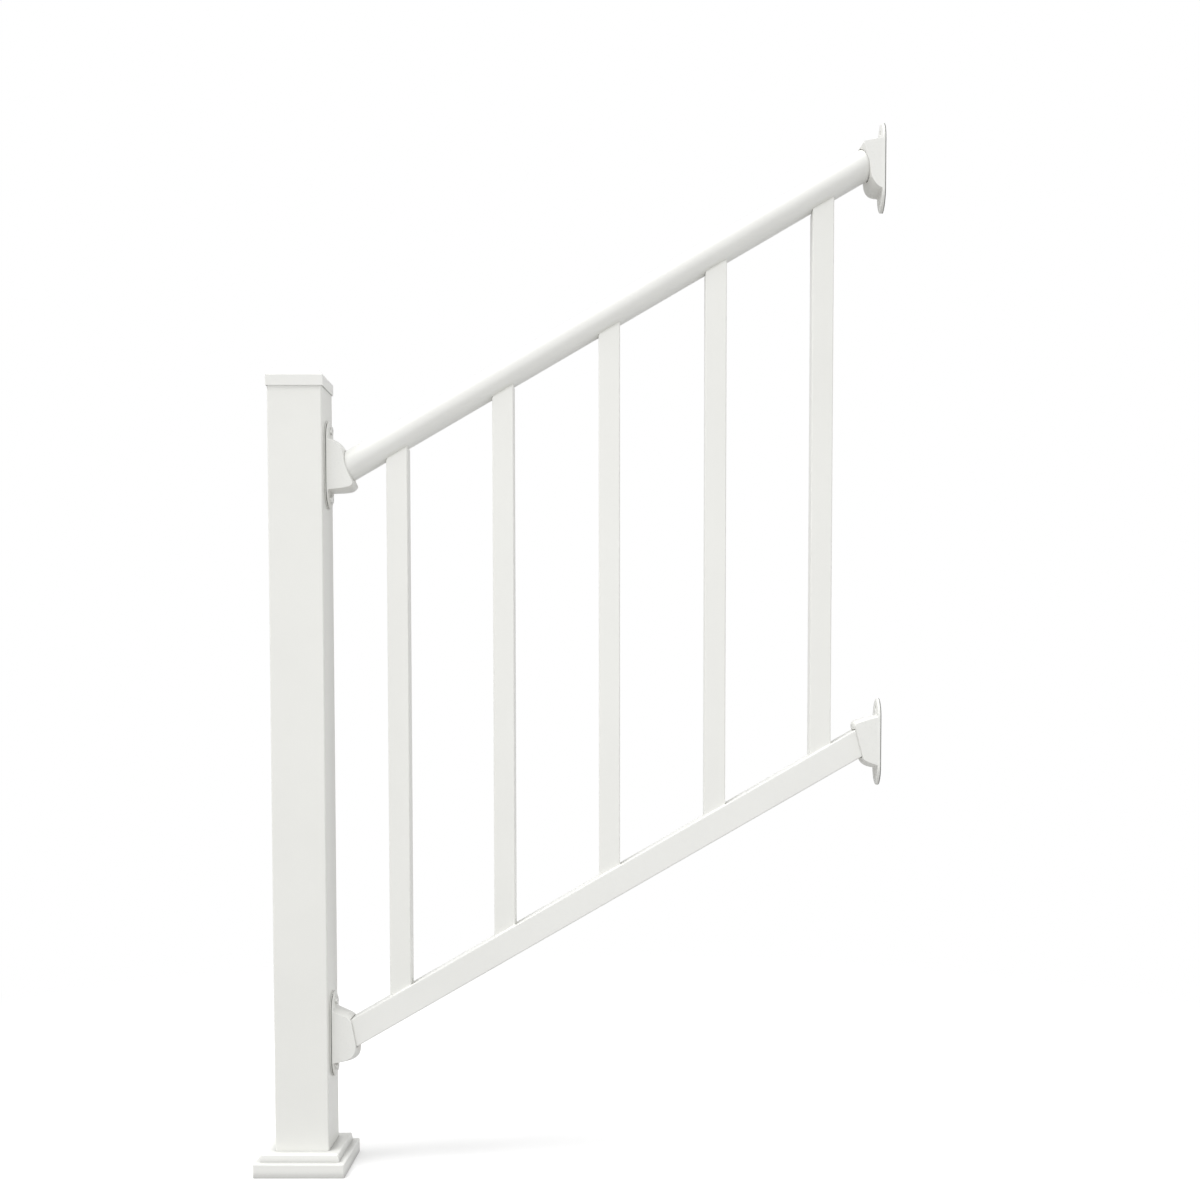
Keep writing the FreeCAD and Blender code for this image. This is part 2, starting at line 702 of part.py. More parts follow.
def make_screws():
    for name, rail_axis, casting in (("upper", HANDRAIL_AXIS, "round"), ("lower", LOWER_RAIL_AXIS, "square")):
        make_flange_screw(f"post_{name}_screw_high", rail_axis, casting, "+")
        make_flange_screw(f"post_{name}_screw_low", rail_axis, casting, "-")
        make_rail_screw(f"rail_screw_post_{name}", rail_axis, "post_width / 2", "+")
        make_rail_screw(f"rail_screw_wall_{name}", rail_axis, "post_width / 2 + clear_span", "-")


# The whole section

def check_document():
    for item in doc.Objects:
        if "Invalid" in item.State or "Error" in item.State:
            raise ValueError(f"{item.Label} is {item.State}")
        if hasattr(item, "FullyConstrained") and not item.FullyConstrained:
            raise ValueError(f"{item.Label} is not fully constrained")
    for piece in pieces:
        if not piece.Shape.isValid() or len(piece.Shape.Solids) != 1:
            raise ValueError(f"{piece.Label} is not one valid solid")


def export_pieces():
    os.makedirs("parts", exist_ok=True)
    for piece in pieces:
        piece.Shape.exportStep(f"parts/{piece.Label}.step")


sizes = fill_sheet()
probe = make_probe()
make_post()
make_base_plate()
make_weld()
make_skirt()
make_cap()
make_handrail()
make_bottom_rail()
for number in range(BALUSTERS):
    make_baluster(number)
make_brackets()
make_screws()
doc.recompute()
check_document()
export_pieces()
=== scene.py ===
"""Finishes one sloped section of white square-post deck railing around its solids.

The solids stay as they are. This file gives them their coats, lays the small joints
between them, and sets up the studio shot.
"""

import math
import random
from collections import namedtuple

import bmesh
import bpy
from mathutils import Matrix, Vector


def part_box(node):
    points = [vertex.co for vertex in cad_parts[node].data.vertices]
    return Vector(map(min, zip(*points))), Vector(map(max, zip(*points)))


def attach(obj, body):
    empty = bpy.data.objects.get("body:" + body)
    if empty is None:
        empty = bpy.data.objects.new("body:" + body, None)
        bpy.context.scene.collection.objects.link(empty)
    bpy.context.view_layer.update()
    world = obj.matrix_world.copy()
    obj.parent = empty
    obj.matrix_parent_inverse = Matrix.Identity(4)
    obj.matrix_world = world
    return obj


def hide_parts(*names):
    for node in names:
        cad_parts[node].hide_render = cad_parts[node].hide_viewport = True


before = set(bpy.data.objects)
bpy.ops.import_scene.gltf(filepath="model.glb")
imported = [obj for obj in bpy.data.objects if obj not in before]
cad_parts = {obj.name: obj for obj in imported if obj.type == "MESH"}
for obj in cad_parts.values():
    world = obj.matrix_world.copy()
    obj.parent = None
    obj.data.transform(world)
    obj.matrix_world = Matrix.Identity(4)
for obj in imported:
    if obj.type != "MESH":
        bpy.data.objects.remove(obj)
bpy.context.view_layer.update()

bl_info = {
    "name": "Sloped Railing Section",
    "version": (1, 0, 0),
    "blender": (4, 5, 0),
    "location": "3D View > Sidebar > Railing",
    "description": "Coats, joints and studio shot of one sloped railing section",
    "category": "Object",
}

MM = 0.001
SLOPE = math.radians(30)
RUN_SLOPE = math.tan(SLOPE)
ROOT = "root"
BALUSTERS = tuple(f"baluster_{number}" for number in range(1, 6))
UPRIGHTS = ("post_tube",) + BALUSTERS
RAILS = ("handrail", "bottom_rail")
BRACKETS = ("bracket_post_upper", "bracket_post_lower", "bracket_wall_upper", "bracket_wall_lower")
TRIMS = ("post_cap", "base_skirt")
STEELWORK = ("base_plate", "post_weld")
SCREWS = tuple(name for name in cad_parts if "screw" in name)
WHITE = (1.0, 1.0, 1.0, 1.0)
COAT_IOR = 1.5
SHARP_EDGE = math.radians(40)

# Where the lamps aim, and each lamp's place and size
AIM = Vector((0.33, 0.0, 0.6))
LAMPS = {
    "left": ((-3.3, -0.97, 1.97), 2.0),
    "right": ((3.96, -0.97, 1.97), 2.0),
    "front": ((0.33, -3.6, 0.9), 1.2),
    "overhead": ((-2.0, -1.7, 7.0), 3.5),
}

# Sizes that the castings share, in millimetres: half a cup's width; a flange's thickness,
# its chamfer and the height at which its sides close in; the radius of its screw holes and
# their height; the hole for the rail's screw, with its radius, how far out it stands, and
# where across the cup it starts and how far it runs; and half the width of the hollows.
CUP_HALF = 19.5
FLANGE, FLANGE_CHAMFER, FLANGE_SPRING = 4.0, 0.8, 28.0
BORE, BORE_HEIGHT = 2.75, 40.0
RAIL_BORE, RAIL_BORE_OUT, RAIL_BORE_START, RAIL_BORE_RUN = 2.0, 19.92, 10.0, 12.0
HOLLOW_HALF = 12.0

# Shares of a flange's outline: its width to that of the solid, and its chamfered front.
FLANGE_WAIST, FLANGE_FRONT = 0.94, 0.97

# The outline of each cup in millimetres, out from the flange's back and up from its
# middle: along the middle of the cup, then along its near cheek. Last is the share of
# the near cheek's cut that the far cheek gets; under 0 the far cheek stands out more.
CUPS = {
    "bracket_post_upper": (
        ((2, 31), (10.4, 29.2), (17.5, 24.2), (22, 17.6), (24, 10), (26.5, 0), (29.5, -10),
         (32, -17), (33.6, -21), (34, -25.5), (31.8, -30), (27, -32.4), (10, -33.2),
         (2, -33.2)),
        ((2, 28.3), (9.5, 26.3), (16, 21.8), (20.8, 16.2), (21.3, 11.5), (22.2, 5),
         (25.2, -5), (29.2, -15.5), (32.4, -21), (33, -23), (31.6, -25.4), (28, -27.5),
         (15, -29.6), (2, -30.4)),
        1.0,
    ),
    "bracket_post_lower": (
        ((2, 32.5), (12, 29), (25.5, 23), (27, 12), (29.5, -1), (32.3, -13.5), (33.2, -19),
         (32.6, -24), (29, -28.8), (23, -32), (12, -34), (2, -34.6)),
        ((2, 30.6), (12, 26), (25, 20.1), (26.6, 11), (28.6, 0), (30.9, -12.1),
         (30.4, -17), (28.6, -22), (25.5, -26.2), (20, -29), (11, -31.4), (2, -32.6)),
        1.0,
    ),
    "bracket_wall_upper": (
        ((2, 29.2), (12, 26.8), (27.6, 23.2), (29, 21.8), (28.2, 18.8), (26.1, 12.8),
         (23.4, 6), (21.3, -0.2), (19.9, -6.6), (18.9, -11.4), (18.1, -17), (15.8, -22),
         (12.4, -26), (7.5, -28.4), (2, -29.2)),
        ((2, 29.6), (10.8, 28), (24.6, 25.3), (25.8, 24.4), (25.2, 21), (23.1, 13.7),
         (20.5, 6), (18.5, -0.2), (17.3, -7), (16.7, -12.3), (15.7, -16.7),
         (13.4, -20.6), (10.4, -24.5), (6.5, -27.6), (2, -28.8)),
        -1.0,
    ),
    "bracket_wall_lower": (
        ((2, 31.9), (16.5, 29.4), (28.9, 25.6), (32.5, 23.2), (33.2, 19), (31, 10),
         (28.6, 0), (26, -10), (24.2, -18), (22.8, -22.5), (19.5, -26.8), (12.2, -30),
         (2, -31.5)),
        ((2, 29.9), (15, 26.3), (27, 22.4), (29.8, 21), (30.2, 18.4), (28.8, 11),
         (26, 0), (23.3, -10), (21.8, -16.5), (20.9, -19.6), (18.6, -22.2),
         (11.8, -25.4), (2, -28)),
        1.0,
    ),
}

# By rail: half the rail, the corner of its section, how far its line starts below the
# flange's middle, where the socket's floor stands, how high the rail's screw is, and
# the hollows in the flange's back as lowest point, highest point and depth.
SOCKETS = {
    "upper": (17.25, None, 16.5, 13.63, -5.0, ((11.4, 25.2, 8.0), (-23.5, -19.5, 11.0))),
    "lower": (15.75, 2.0, 13.2, 12.88, -1.7, ((12.95, 18.8, 8.0), (-22.0, -16.2, 11.0))),
}

# Painted shade that darkens a coat in joints and inner corners: how far it looks for a
# neighbour, the open share at which it starts, and its strength
Seam = namedtuple("Seam", "reach limit depth")


# Materials


class Wire:
    """An output socket in a finish. Sums, differences and products of it add Math nodes."""

    def __init__(self, finish, socket):
        self.finish = finish
        self.socket = socket

    def math(self, operation, *others, flipped=False):
        """One Math node on this value and others; flipped puts this value last."""
        values = (*others, self) if flipped else (self, *others)
        return self.finish.node(
            "ShaderNodeMath", {"operation": operation}, dict(enumerate(values))
        )

    def __add__(self, other):
        return self.math("ADD", other)

    __radd__ = __add__

    def __mul__(self, other):
        return self.math("MULTIPLY", other)

    __rmul__ = __mul__

    def __sub__(self, other):
        return self.math("SUBTRACT", other)

    def __rsub__(self, other):
        return self.math("SUBTRACT", other, flipped=True)

    def clamped(self):
        return self.math("MAXIMUM", 0.0).math("MINIMUM", 1.0)


class Finish:
    """A node tree as it is being built."""

    # How much less open than its limit a crevice is where it counts in full
    FALL = 0.35
    # Open shares above a spot at which painted shade from above starts and at which it counts in
    # full
    SHADED_FROM_ABOVE = (0.42, 0.1)

    def __init__(self, block):
        block.use_nodes = True
        self.tree = block.node_tree
        self.tree.nodes.clear()

    def node(self, kind, settings=None, sockets=None, out=0):
        """Adds a node, sets it up, fills or links its sockets and gives its output.

        Names in out give one output each, and None is for a node that has no output.
        """
        made = self.tree.nodes.new(kind)
        for name, setting in (settings or {}).items():
            setattr(made, name, setting)
        for name, given in (sockets or {}).items():
            socket = made.inputs[name]
            if isinstance(given, Wire):
                self.tree.links.new(given.socket, socket)
            else:
                socket.default_value = given
        if out is None:
            return None
        if isinstance(out, tuple):
            return [Wire(self, made.outputs[name]) for name in out]
        return Wire(self, made.outputs[out])

    def noise(self, scale, detail, rough, stretch=(1.0, 1.0, 1.0)):
        """Noise in the frame's own metres, so that a scale of 1000 has 1 mm features."""
        place = self.node("ShaderNodeTexCoord", out="Object")
        place = self.node("ShaderNodeMapping", {}, {"Vector": place, "Scale": stretch})
        return self.node(
            "ShaderNodeTexNoise",
            {"noise_dimensions": "3D"},
            {"Vector": place, "Scale": scale, "Detail": detail, "Roughness": rough},
            out="Fac",
        )

    def spread(self, value, low, high):
        """0 where the value is low and 1 where it is high, eased in between."""
        return self.node(
            "ShaderNodeMapRange",
            {"interpolation_type": "SMOOTHSTEP"},
            {"Value": value, "From Min": low, "From Max": high, "To Min": 0.0, "To Max": 1.0},
        )

    def blend(self, amount, first, second):
        """One colour going over to another."""
        return self.node(
            "ShaderNodeMix",
            {"data_type": "RGBA", "blend_type": "MIX"},
            {0: amount, 6: first, 7: second},
            out=2,
        )

    def edges(self, radius):
        """1 at an edge of the piece and 0 away from it."""
        rounded = self.node("ShaderNodeBevel", {"samples": 6}, {"Radius": radius})
        true = self.node("ShaderNodeNewGeometry", out="Normal")
        along = self.node(
            "ShaderNodeVectorMath",
            {"operation": "DOT_PRODUCT"},
            {0: rounded, 1: true},
            out="Value",
        )
        return self.spread(1 - along, 0.02, 0.25)

    def painted_crevice_shade(self, reach, limit):
        """Painted shade mask: 1 deep in a joint or an inner corner and 0 where more than limit is
        open.
        """
        open_share = self.node(
            "ShaderNodeAmbientOcclusion", {"samples": 8}, {"Distance": reach}, out="AO"
        )
        return self.spread(open_share, limit, limit - self.FALL)

    def shade_from_above(self, reach):
        """Painted shade mask: 1 where the piece itself or another covers a spot from above."""
        upward = self.node("ShaderNodeCombineXYZ", {}, {"Z": 1.0})
        open_share = self.node(
            "ShaderNodeAmbientOcclusion",
            {"samples": 8},
            {"Distance": reach, "Normal": upward},
            out="AO",
        )
        return self.spread(open_share, *self.SHADED_FROM_ABOVE)

    def bump(self, height, depth, normal=None):
        """Relief of a height from 0 to 1, depth metres deep."""
        sockets = {"Height": height, "Strength": 1.0, "Distance": depth}
        if normal:
            sockets["Normal"] = normal
        return self.node("ShaderNodeBump", {}, sockets, out="Normal")

    def shade(self, sockets):
        """Ends the material in one Principled shader."""
        shader = self.node("ShaderNodeBsdfPrincipled", {}, sockets)
        self.node("ShaderNodeOutputMaterial", {}, {"Surface": shader}, out=None)


def new_material(name):
    """An empty material and the finish that fills it."""
    material = bpy.data.materials.new(name)
    return material, Finish(material)


def solid(colour):
    """A property's colour as a socket wants it."""
    return (*colour, 1.0)


def darker(colour, share):
    """A colour with part of its light taken away."""
    return tuple(part * share for part in colour)


def sprayed_coat(name, colour, gloss, grain, relief, wear, crevice_shade=Seam(1.5 * MM, 0.5, 0.8)):
    """Powder coat: a fine skin of flow marks, faint clouding, thinner, duller edges and painted
    shade in joints.
    """
    material, finish = new_material(name)
    cloud = finish.noise(scale=7.0, detail=3.0, rough=0.6)
    skin = finish.noise(scale=grain, detail=2.0, rough=0.4)
    specks = finish.noise(scale=grain * 2.6, detail=1.0, rough=0.5)
    rub = finish.noise(scale=160.0, detail=4.0, rough=0.7)
    edge = finish.edges(0.8 * MM) * finish.spread(rub, 0.35, 0.7) * wear
    clouded, flecked, worn, painted_shade = (
        solid(darker(colour, share)) for share in (0.975, 0.8, 0.86, 0.3)
    )
    tint = finish.blend(finish.spread(cloud, 0.3, 0.7), clouded, solid(colour))
    tint = finish.blend(finish.spread(specks, 0.72, 0.86) * 0.25, tint, flecked)
    tint = finish.blend(edge, tint, worn)
    # Painted shade: the coat goes darker in joints and inner corners
    tint = finish.blend(finish.painted_crevice_shade(crevice_shade.reach, crevice_shade.limit) * crevice_shade.depth, tint, painted_shade)
    rough = gloss + (skin - 0.5) * 0.12 + (cloud - 0.5) * 0.08 + edge * 0.15
    flow = finish.bump(skin, relief)
    finish.shade({
        "Base Color": tint,
        "Roughness": rough.clamped(),
        "Normal": finish.bump(specks, relief * 0.25, flow),
        "IOR": COAT_IOR,
    })
    return material


def cast_coat(name, colour, underside_shade, gloss):
    """Powder coat over a rough casting: larger dimples, soft pits, worn high edges and painted
    shade.
    """
    material, finish = new_material(name)
    pits = finish.noise(scale=420.0, detail=3.0, rough=0.55)
    skin = finish.noise(scale=1400.0, detail=2.0, rough=0.5)
    swell = finish.noise(scale=70.0, detail=2.0, rough=0.5)
    rub = finish.noise(scale=240.0, detail=4.0, rough=0.7)
    edge = finish.edges(0.9 * MM) * finish.spread(rub, 0.4, 0.7) * 0.3
    low = finish.spread(pits, 0.5, 0.25) * 0.5
    pitted, worn, painted_shade = (solid(darker(colour, share)) for share in (0.93, 0.84, 0.3))
    tint = finish.blend(low, solid(colour), pitted)
    tint = finish.blend(edge, tint, worn)
    # Painted shade: a brownish tone where the casting is covered from above
    tint = finish.blend(finish.shade_from_above(25 * MM) * 0.3, tint, solid(underside_shade))
    # Painted shade in joints, such as where a rail enters its socket
    tint = finish.blend(finish.painted_crevice_shade(1.5 * MM, 0.5) * 0.8, tint, painted_shade)
    rough = gloss + (skin - 0.5) * 0.15 + low * 0.12
    wavy = finish.bump(swell, 0.12 * MM)
    dimpled = finish.bump(pits, 0.05 * MM, wavy)
    finish.shade({
        "Base Color": tint,
        "Roughness": rough.clamped(),
        "Normal": finish.bump(skin, 0.012 * MM, dimpled),
        "IOR": COAT_IOR,
    })
    return material


def brushed_steel(name, colour):
    """Plated steel: fine scratches, small bright pits and a dulled rim."""
    material, finish = new_material(name)
    drawn = finish.noise(scale=900.0, detail=3.0, rough=0.6, stretch=(1.0, 1.0, 0.08))
    grime = finish.noise(scale=300.0, detail=3.0, rough=0.6)
    edge = finish.edges(0.4 * MM)
    ground = finish.blend(
        finish.spread(grime, 0.4, 0.75), solid(colour), solid(darker(colour, 0.8))
    )
    finish.shade({
        "Base Color": finish.blend(edge * 0.5, ground, solid(darker(colour, 0.7))),
        "Metallic": 0.35,
        "Roughness": (0.32 + drawn * 0.2).clamped(),
        "Normal": finish.bump(drawn, 0.01 * MM),
    })
    return material


def rubber(name, colour):
    """Dark moulded rubber of the pads behind the brackets, whose edge is also painted shade for
    each flange's shadow line.
    """
    material, finish = new_material(name)
    grain = finish.noise(scale=1800.0, detail=3.0, rough=0.6)
    dust = finish.noise(scale=120.0, detail=3.0, rough=0.6)
    tint = finish.blend(
        finish.spread(dust, 0.45, 0.75) * 0.5, solid(colour), solid(darker(colour, 1.4))
    )
    finish.shade({
        "Base Color": tint,
        "Roughness": (0.7 + grain * 0.15).clamped(),
        "Normal": finish.bump(grain, 0.03 * MM),
    })
    return material


def coat(names, material):
    """Gives solids of the frame a finish, through the slots that they have."""
    for name in names:
        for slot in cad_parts[name].material_slots:
            slot.material = material


# Meshes


def add_piece(name, mesh, material):
    """Puts a finished mesh on the railing."""
    mesh.name = name
    mesh.materials.clear()
    mesh.materials.append(material)
    piece = bpy.data.objects.new(name, mesh)
    bpy.context.scene.collection.objects.link(piece)
    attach(piece, ROOT)
    return piece


def make_piece(name, points, faces, material):
    """A new piece from points and faces, smooth but for its edges."""
    mesh = closed_mesh(name, points, faces)
    mesh.shade_smooth()
    mesh.set_sharp_from_angle(angle=SHARP_EDGE)
    return add_piece(name, mesh, material)


def closed_mesh(name, points, faces):
    """A mesh whose faces all look outwards."""
    mesh = bpy.data.meshes.new(name)
    mesh.from_pydata(points, [], faces)
    work = bmesh.new()
    work.from_mesh(mesh)
    bmesh.ops.recalc_face_normals(work, faces=work.faces)
    work.to_mesh(mesh)
    work.free()
    return mesh


def lofted(name, points, around):
    """A closed mesh over outlines of as many points each, with a face at either end."""
    return closed_mesh(name, points, loft_faces(len(points) // around, around))


def cast(name, body, additions, cutters, grain, runs, share):
    """One casting: meshes joined and cut, with every edge and inner corner run soft."""
    shape = bpy.data.objects.new(name, body)
    tools = []
    for operation, meshes in (("UNION", additions), ("DIFFERENCE", cutters)):
        for mesh in meshes:
            tool = bpy.data.objects.new(f"{name}_tool", mesh)
            tools.append(tool)
            change = shape.modifiers.new("change", "BOOLEAN")
            change.operation, change.solver, change.object = operation, "EXACT", tool
    skin = shape.modifiers.new("skin", "REMESH")
    skin.mode, skin.voxel_size, skin.use_smooth_shade = "VOXEL", grain, True
    soft = shape.modifiers.new("soft", "SMOOTH")
    soft.factor, soft.iterations = 0.5, runs
    fewer = shape.modifiers.new("fewer", "DECIMATE")
    fewer.ratio = share
    for thing in (shape, *tools):
        bpy.context.scene.collection.objects.link(thing)
    bpy.context.view_layer.update()
    seen = shape.evaluated_get(bpy.context.evaluated_depsgraph_get())
    made = bpy.data.meshes.new_from_object(seen)
    for thing in (shape, *tools):
        bpy.data.objects.remove(thing)
    made.shade_smooth()
    return made


def prism(name, outline, start, along, across, up):
    """A closed mesh that runs from start along a way, with an outline across and up from it."""
    points = []
    for foot in (start, start + along):
        points += [foot + across * side + up * rise for side, rise in outline]
    return lofted(name, points, len(outline))


def circle(radius, steps):
    """Points round a circle."""
    angles = [2 * math.pi * step / steps for step in range(steps)]
    return [(radius * math.cos(angle), radius * math.sin(angle)) for angle in angles]


def eased(points, rounds):
    """A line with its corners cut again and again until it runs smoothly."""
    for _ in range(rounds):
        cut = [points[0]]
        for here, there in zip(points, points[1:]):
            for share in (0.25, 0.75):
                cut.append(tuple(a + (b - a) * share for a, b in zip(here, there)))
        points = cut + [points[-1]]
    return points


def loop_faces(rings, around, closed=True):
    """Faces between neighbouring rings of points, and from the last ring to the first."""
    faces = []
    for ring in range(rings if closed else rings - 1):
        here, there = ring * around, (ring + 1) % rings * around
        for place in range(around):
            beside = (place + 1) % around
            faces.append((here + place, here + beside, there + beside, there + place))
    return faces


def loft_faces(rings, around):
    """Faces between rings of points, and one over the first and the last ring."""
    last = (rings - 1) * around
    ends = [tuple(range(around)), tuple(range(last, last + around))]
    return loop_faces(rings, around, closed=False) + ends


def rounded_square(half, radius, steps):
    """Points and outward directions round a square with rounded corners."""
    outline = []
    for quarter in range(4):
        turn = math.pi / 2 * quarter
        corner, following = (
            Vector((math.cos(way) - math.sin(way), math.sin(way) + math.cos(way)))
            * (half - radius)
            for way in (turn, turn + math.pi / 2)
        )
        for step in range(steps + 1):
            angle = turn + math.pi / 2 * step / steps
            out = Vector((math.cos(angle), math.sin(angle)))
            outline.append((corner + out * radius, out))
        for share in (0.2, 0.4, 0.6, 0.8):
            outline.append((corner.lerp(following, share) + out * radius, out))
    return outline


def flange_outline(steps):
    """The pointed outline of a bracket's flange, across and up from its centre."""
    box_low, box_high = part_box("bracket_post_upper")
    half, tip = (box_high.y - box_low.y) / 2, (box_high.z - box_low.z) / 2
    spring = FLANGE_SPRING * MM
    radius = (half ** 2 + (tip - spring) ** 2) / (2 * half)
    sweep = math.asin((tip - spring) / radius)
    quarter = []
    for step in range(steps + 1):
        angle = sweep * step / steps
        across = half - radius + radius * math.cos(angle)
        quarter.append((across, spring + radius * math.sin(angle)))
    left = [(-across, up) for across, up in reversed(quarter[:-1])]
    upper = quarter + left
    return upper + [(-across, -up) for across, up in upper]


class Seat:
    """Where a bracket sits: the middle of its back, and which way it faces."""

    def __init__(self, name):
        low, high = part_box(name)
        self.on_post = "post" in name
        self.way = 1 if self.on_post else -1
        self.back = low.x if self.on_post else high.x
        self.middle = (low.z + high.z) / 2
        self.half = (high.y - low.y) / 2

    def spot(self, out, side, up):
        """The point so many millimetres out from the back, to the side and up."""
        return Vector((self.back + self.way * out * MM, side * MM, self.middle + up * MM))


# Settings


def colour_property(name, words, default):
    """A colour that a user may change."""
    return bpy.props.FloatVectorProperty(
        name=name, description=words, subtype="COLOR", size=3, min=0, max=1, default=default
    )


def length_property(name, words, default):
    """A length in metres that a user may change."""
    return bpy.props.FloatProperty(
        name=name, description=words, unit="LENGTH", precision=5, min=0, default=default
    )


def level_property(name, words, default):
    """A plain number that a user may change."""
    return bpy.props.FloatProperty(name=name, description=words, min=0, default=default)


class ShotSettings(bpy.types.PropertyGroup):
    """The studio camera."""

    lens: bpy.props.FloatProperty(
        name="Lens", description="Focal length", unit="CAMERA", default=45.344
    )
    stand: bpy.props.FloatVectorProperty(
        name="Stand point",
        description="Where the camera stands",
        subtype="TRANSLATION",
        unit="LENGTH",
        default=(0.37925, -1.79825, 0.56842),
    )
    tilt: bpy.props.FloatProperty(
        name="Tilt",
        description="Turn from straight down towards level",
        subtype="ANGLE",
        default=math.radians(87.112),
    )
    shift_across: bpy.props.FloatProperty(
        name="Shift across", description="Lens shift to the side", default=-0.01842
    )
    shift_up: bpy.props.FloatProperty(
        name="Shift up", description="Lens shift upwards", default=0.14094
    )


class StudioSettings(bpy.types.PropertyGroup):
    """The floor, the surround and the lamps."""

    floor: colour_property("Floor", "Colour of the floor", (0.45, 0.45, 0.45))
    surround: level_property("Surround", "Light from all sides", 0.58)
    left: level_property("Left", "Light from the left", 0.08)
    right: level_property("Right", "Light from the right", 0.1)
    front: level_property("Front", "Light from the front", 0.2)
    overhead: level_property("Overhead", "Light from above", 0.7)


class CoatSettings(bpy.types.PropertyGroup):
    """Colours and gloss of the finishes."""

    tube: colour_property("Tubes", "Coat of the tubes", (0.84, 0.84, 0.805))
    rail: colour_property("Rails", "Coat of the two rails", (0.84, 0.84, 0.81))
    casting: colour_property("Castings", "Coat of the cast brackets", (0.83, 0.83, 0.8))
    # Painted shade: the brownish tone of castings under what covers them from above
    underside_shade: colour_property("Stain", "Castings where they are covered", (0.5, 0.47, 0.41))
    trim: colour_property("Trim", "Cap and foot trim", (0.85, 0.85, 0.82))
    steelwork: colour_property("Steelwork", "Foot plate and its weld", (0.8, 0.8, 0.77))
    screw: colour_property("Screws", "Screw heads", (0.74, 0.74, 0.72))
    # A dark pad colour that also serves as the painted shadow line along each flange's back
    pad: colour_property("Pads", "Rubber behind the flanges", (0.16, 0.16, 0.15))
    gloss: level_property("Roughness", "Roughness of the coat", 0.42)
    grain: level_property("Grain", "Marks of the coat to a metre", 900)


class JointSettings(bpy.types.PropertyGroup):
    """Sizes of the small joints."""

    socket_gap: length_property("Socket gap", "Play round a rail in its socket", 0.75 * MM)
    cast_grain: length_property("Casting grain", "Mesh size of a casting", 0.5 * MM)
    cast_runs: bpy.props.IntProperty(
        name="Casting softness", description="How far a casting's edges run", min=0, default=2
    )
    cast_share: level_property("Casting share", "Share of a casting's faces that is kept", 0.3)
    pad_thickness: length_property("Pad", "Thickness of a flange's pad", 1.0 * MM)
    # The lift puts the pad's dark edge where the shadow line along the flange's back falls
    pad_lift: length_property("Pad lift", "From the post's face to a pad", 1.4 * MM)
    pad_proud: length_property("Pad edge", "How far a pad stands out", 0.12 * MM)
    bead: length_property("Foot bead", "Leg of the bead at a baluster's foot", 1.3 * MM)
    saddle: length_property("Saddle", "Half width of a baluster's head weld", 8.5 * MM)


class RailingSettings(bpy.types.PropertyGroup):
    """All the railing's settings."""

    shot: bpy.props.PointerProperty(type=ShotSettings)
    studio: bpy.props.PointerProperty(type=StudioSettings)
    coats: bpy.props.PointerProperty(type=CoatSettings)
    joints: bpy.props.PointerProperty(type=JointSettings)


# Operators


class RailingOperator:
    """What the railing's operators share."""

    bl_options = {"REGISTER", "UNDO"}

    @property
    def settings(self):
        return bpy.context.scene.railing


class RAILING_OT_camera(RailingOperator, bpy.types.Operator):
    """Places the studio camera"""

    bl_idname = "railing.camera"
    bl_label = "Place the camera"

    def execute(self, context):
        shot = self.settings.shot
        camera = bpy.data.cameras.new("studio_camera")
        camera.sensor_width = 36
        camera.sensor_fit = "HORIZONTAL"
        camera.lens = shot.lens
        camera.shift_x, camera.shift_y = shot.shift_across, shot.shift_up
        camera.clip_start, camera.clip_end = 0.05, 100
        stand = bpy.data.objects.new("studio_camera", camera)
        stand.location = shot.stand
        stand.rotation_euler = (shot.tilt, 0, 0)
        context.scene.collection.objects.link(stand)
        context.scene.camera = stand
        return {"FINISHED"}


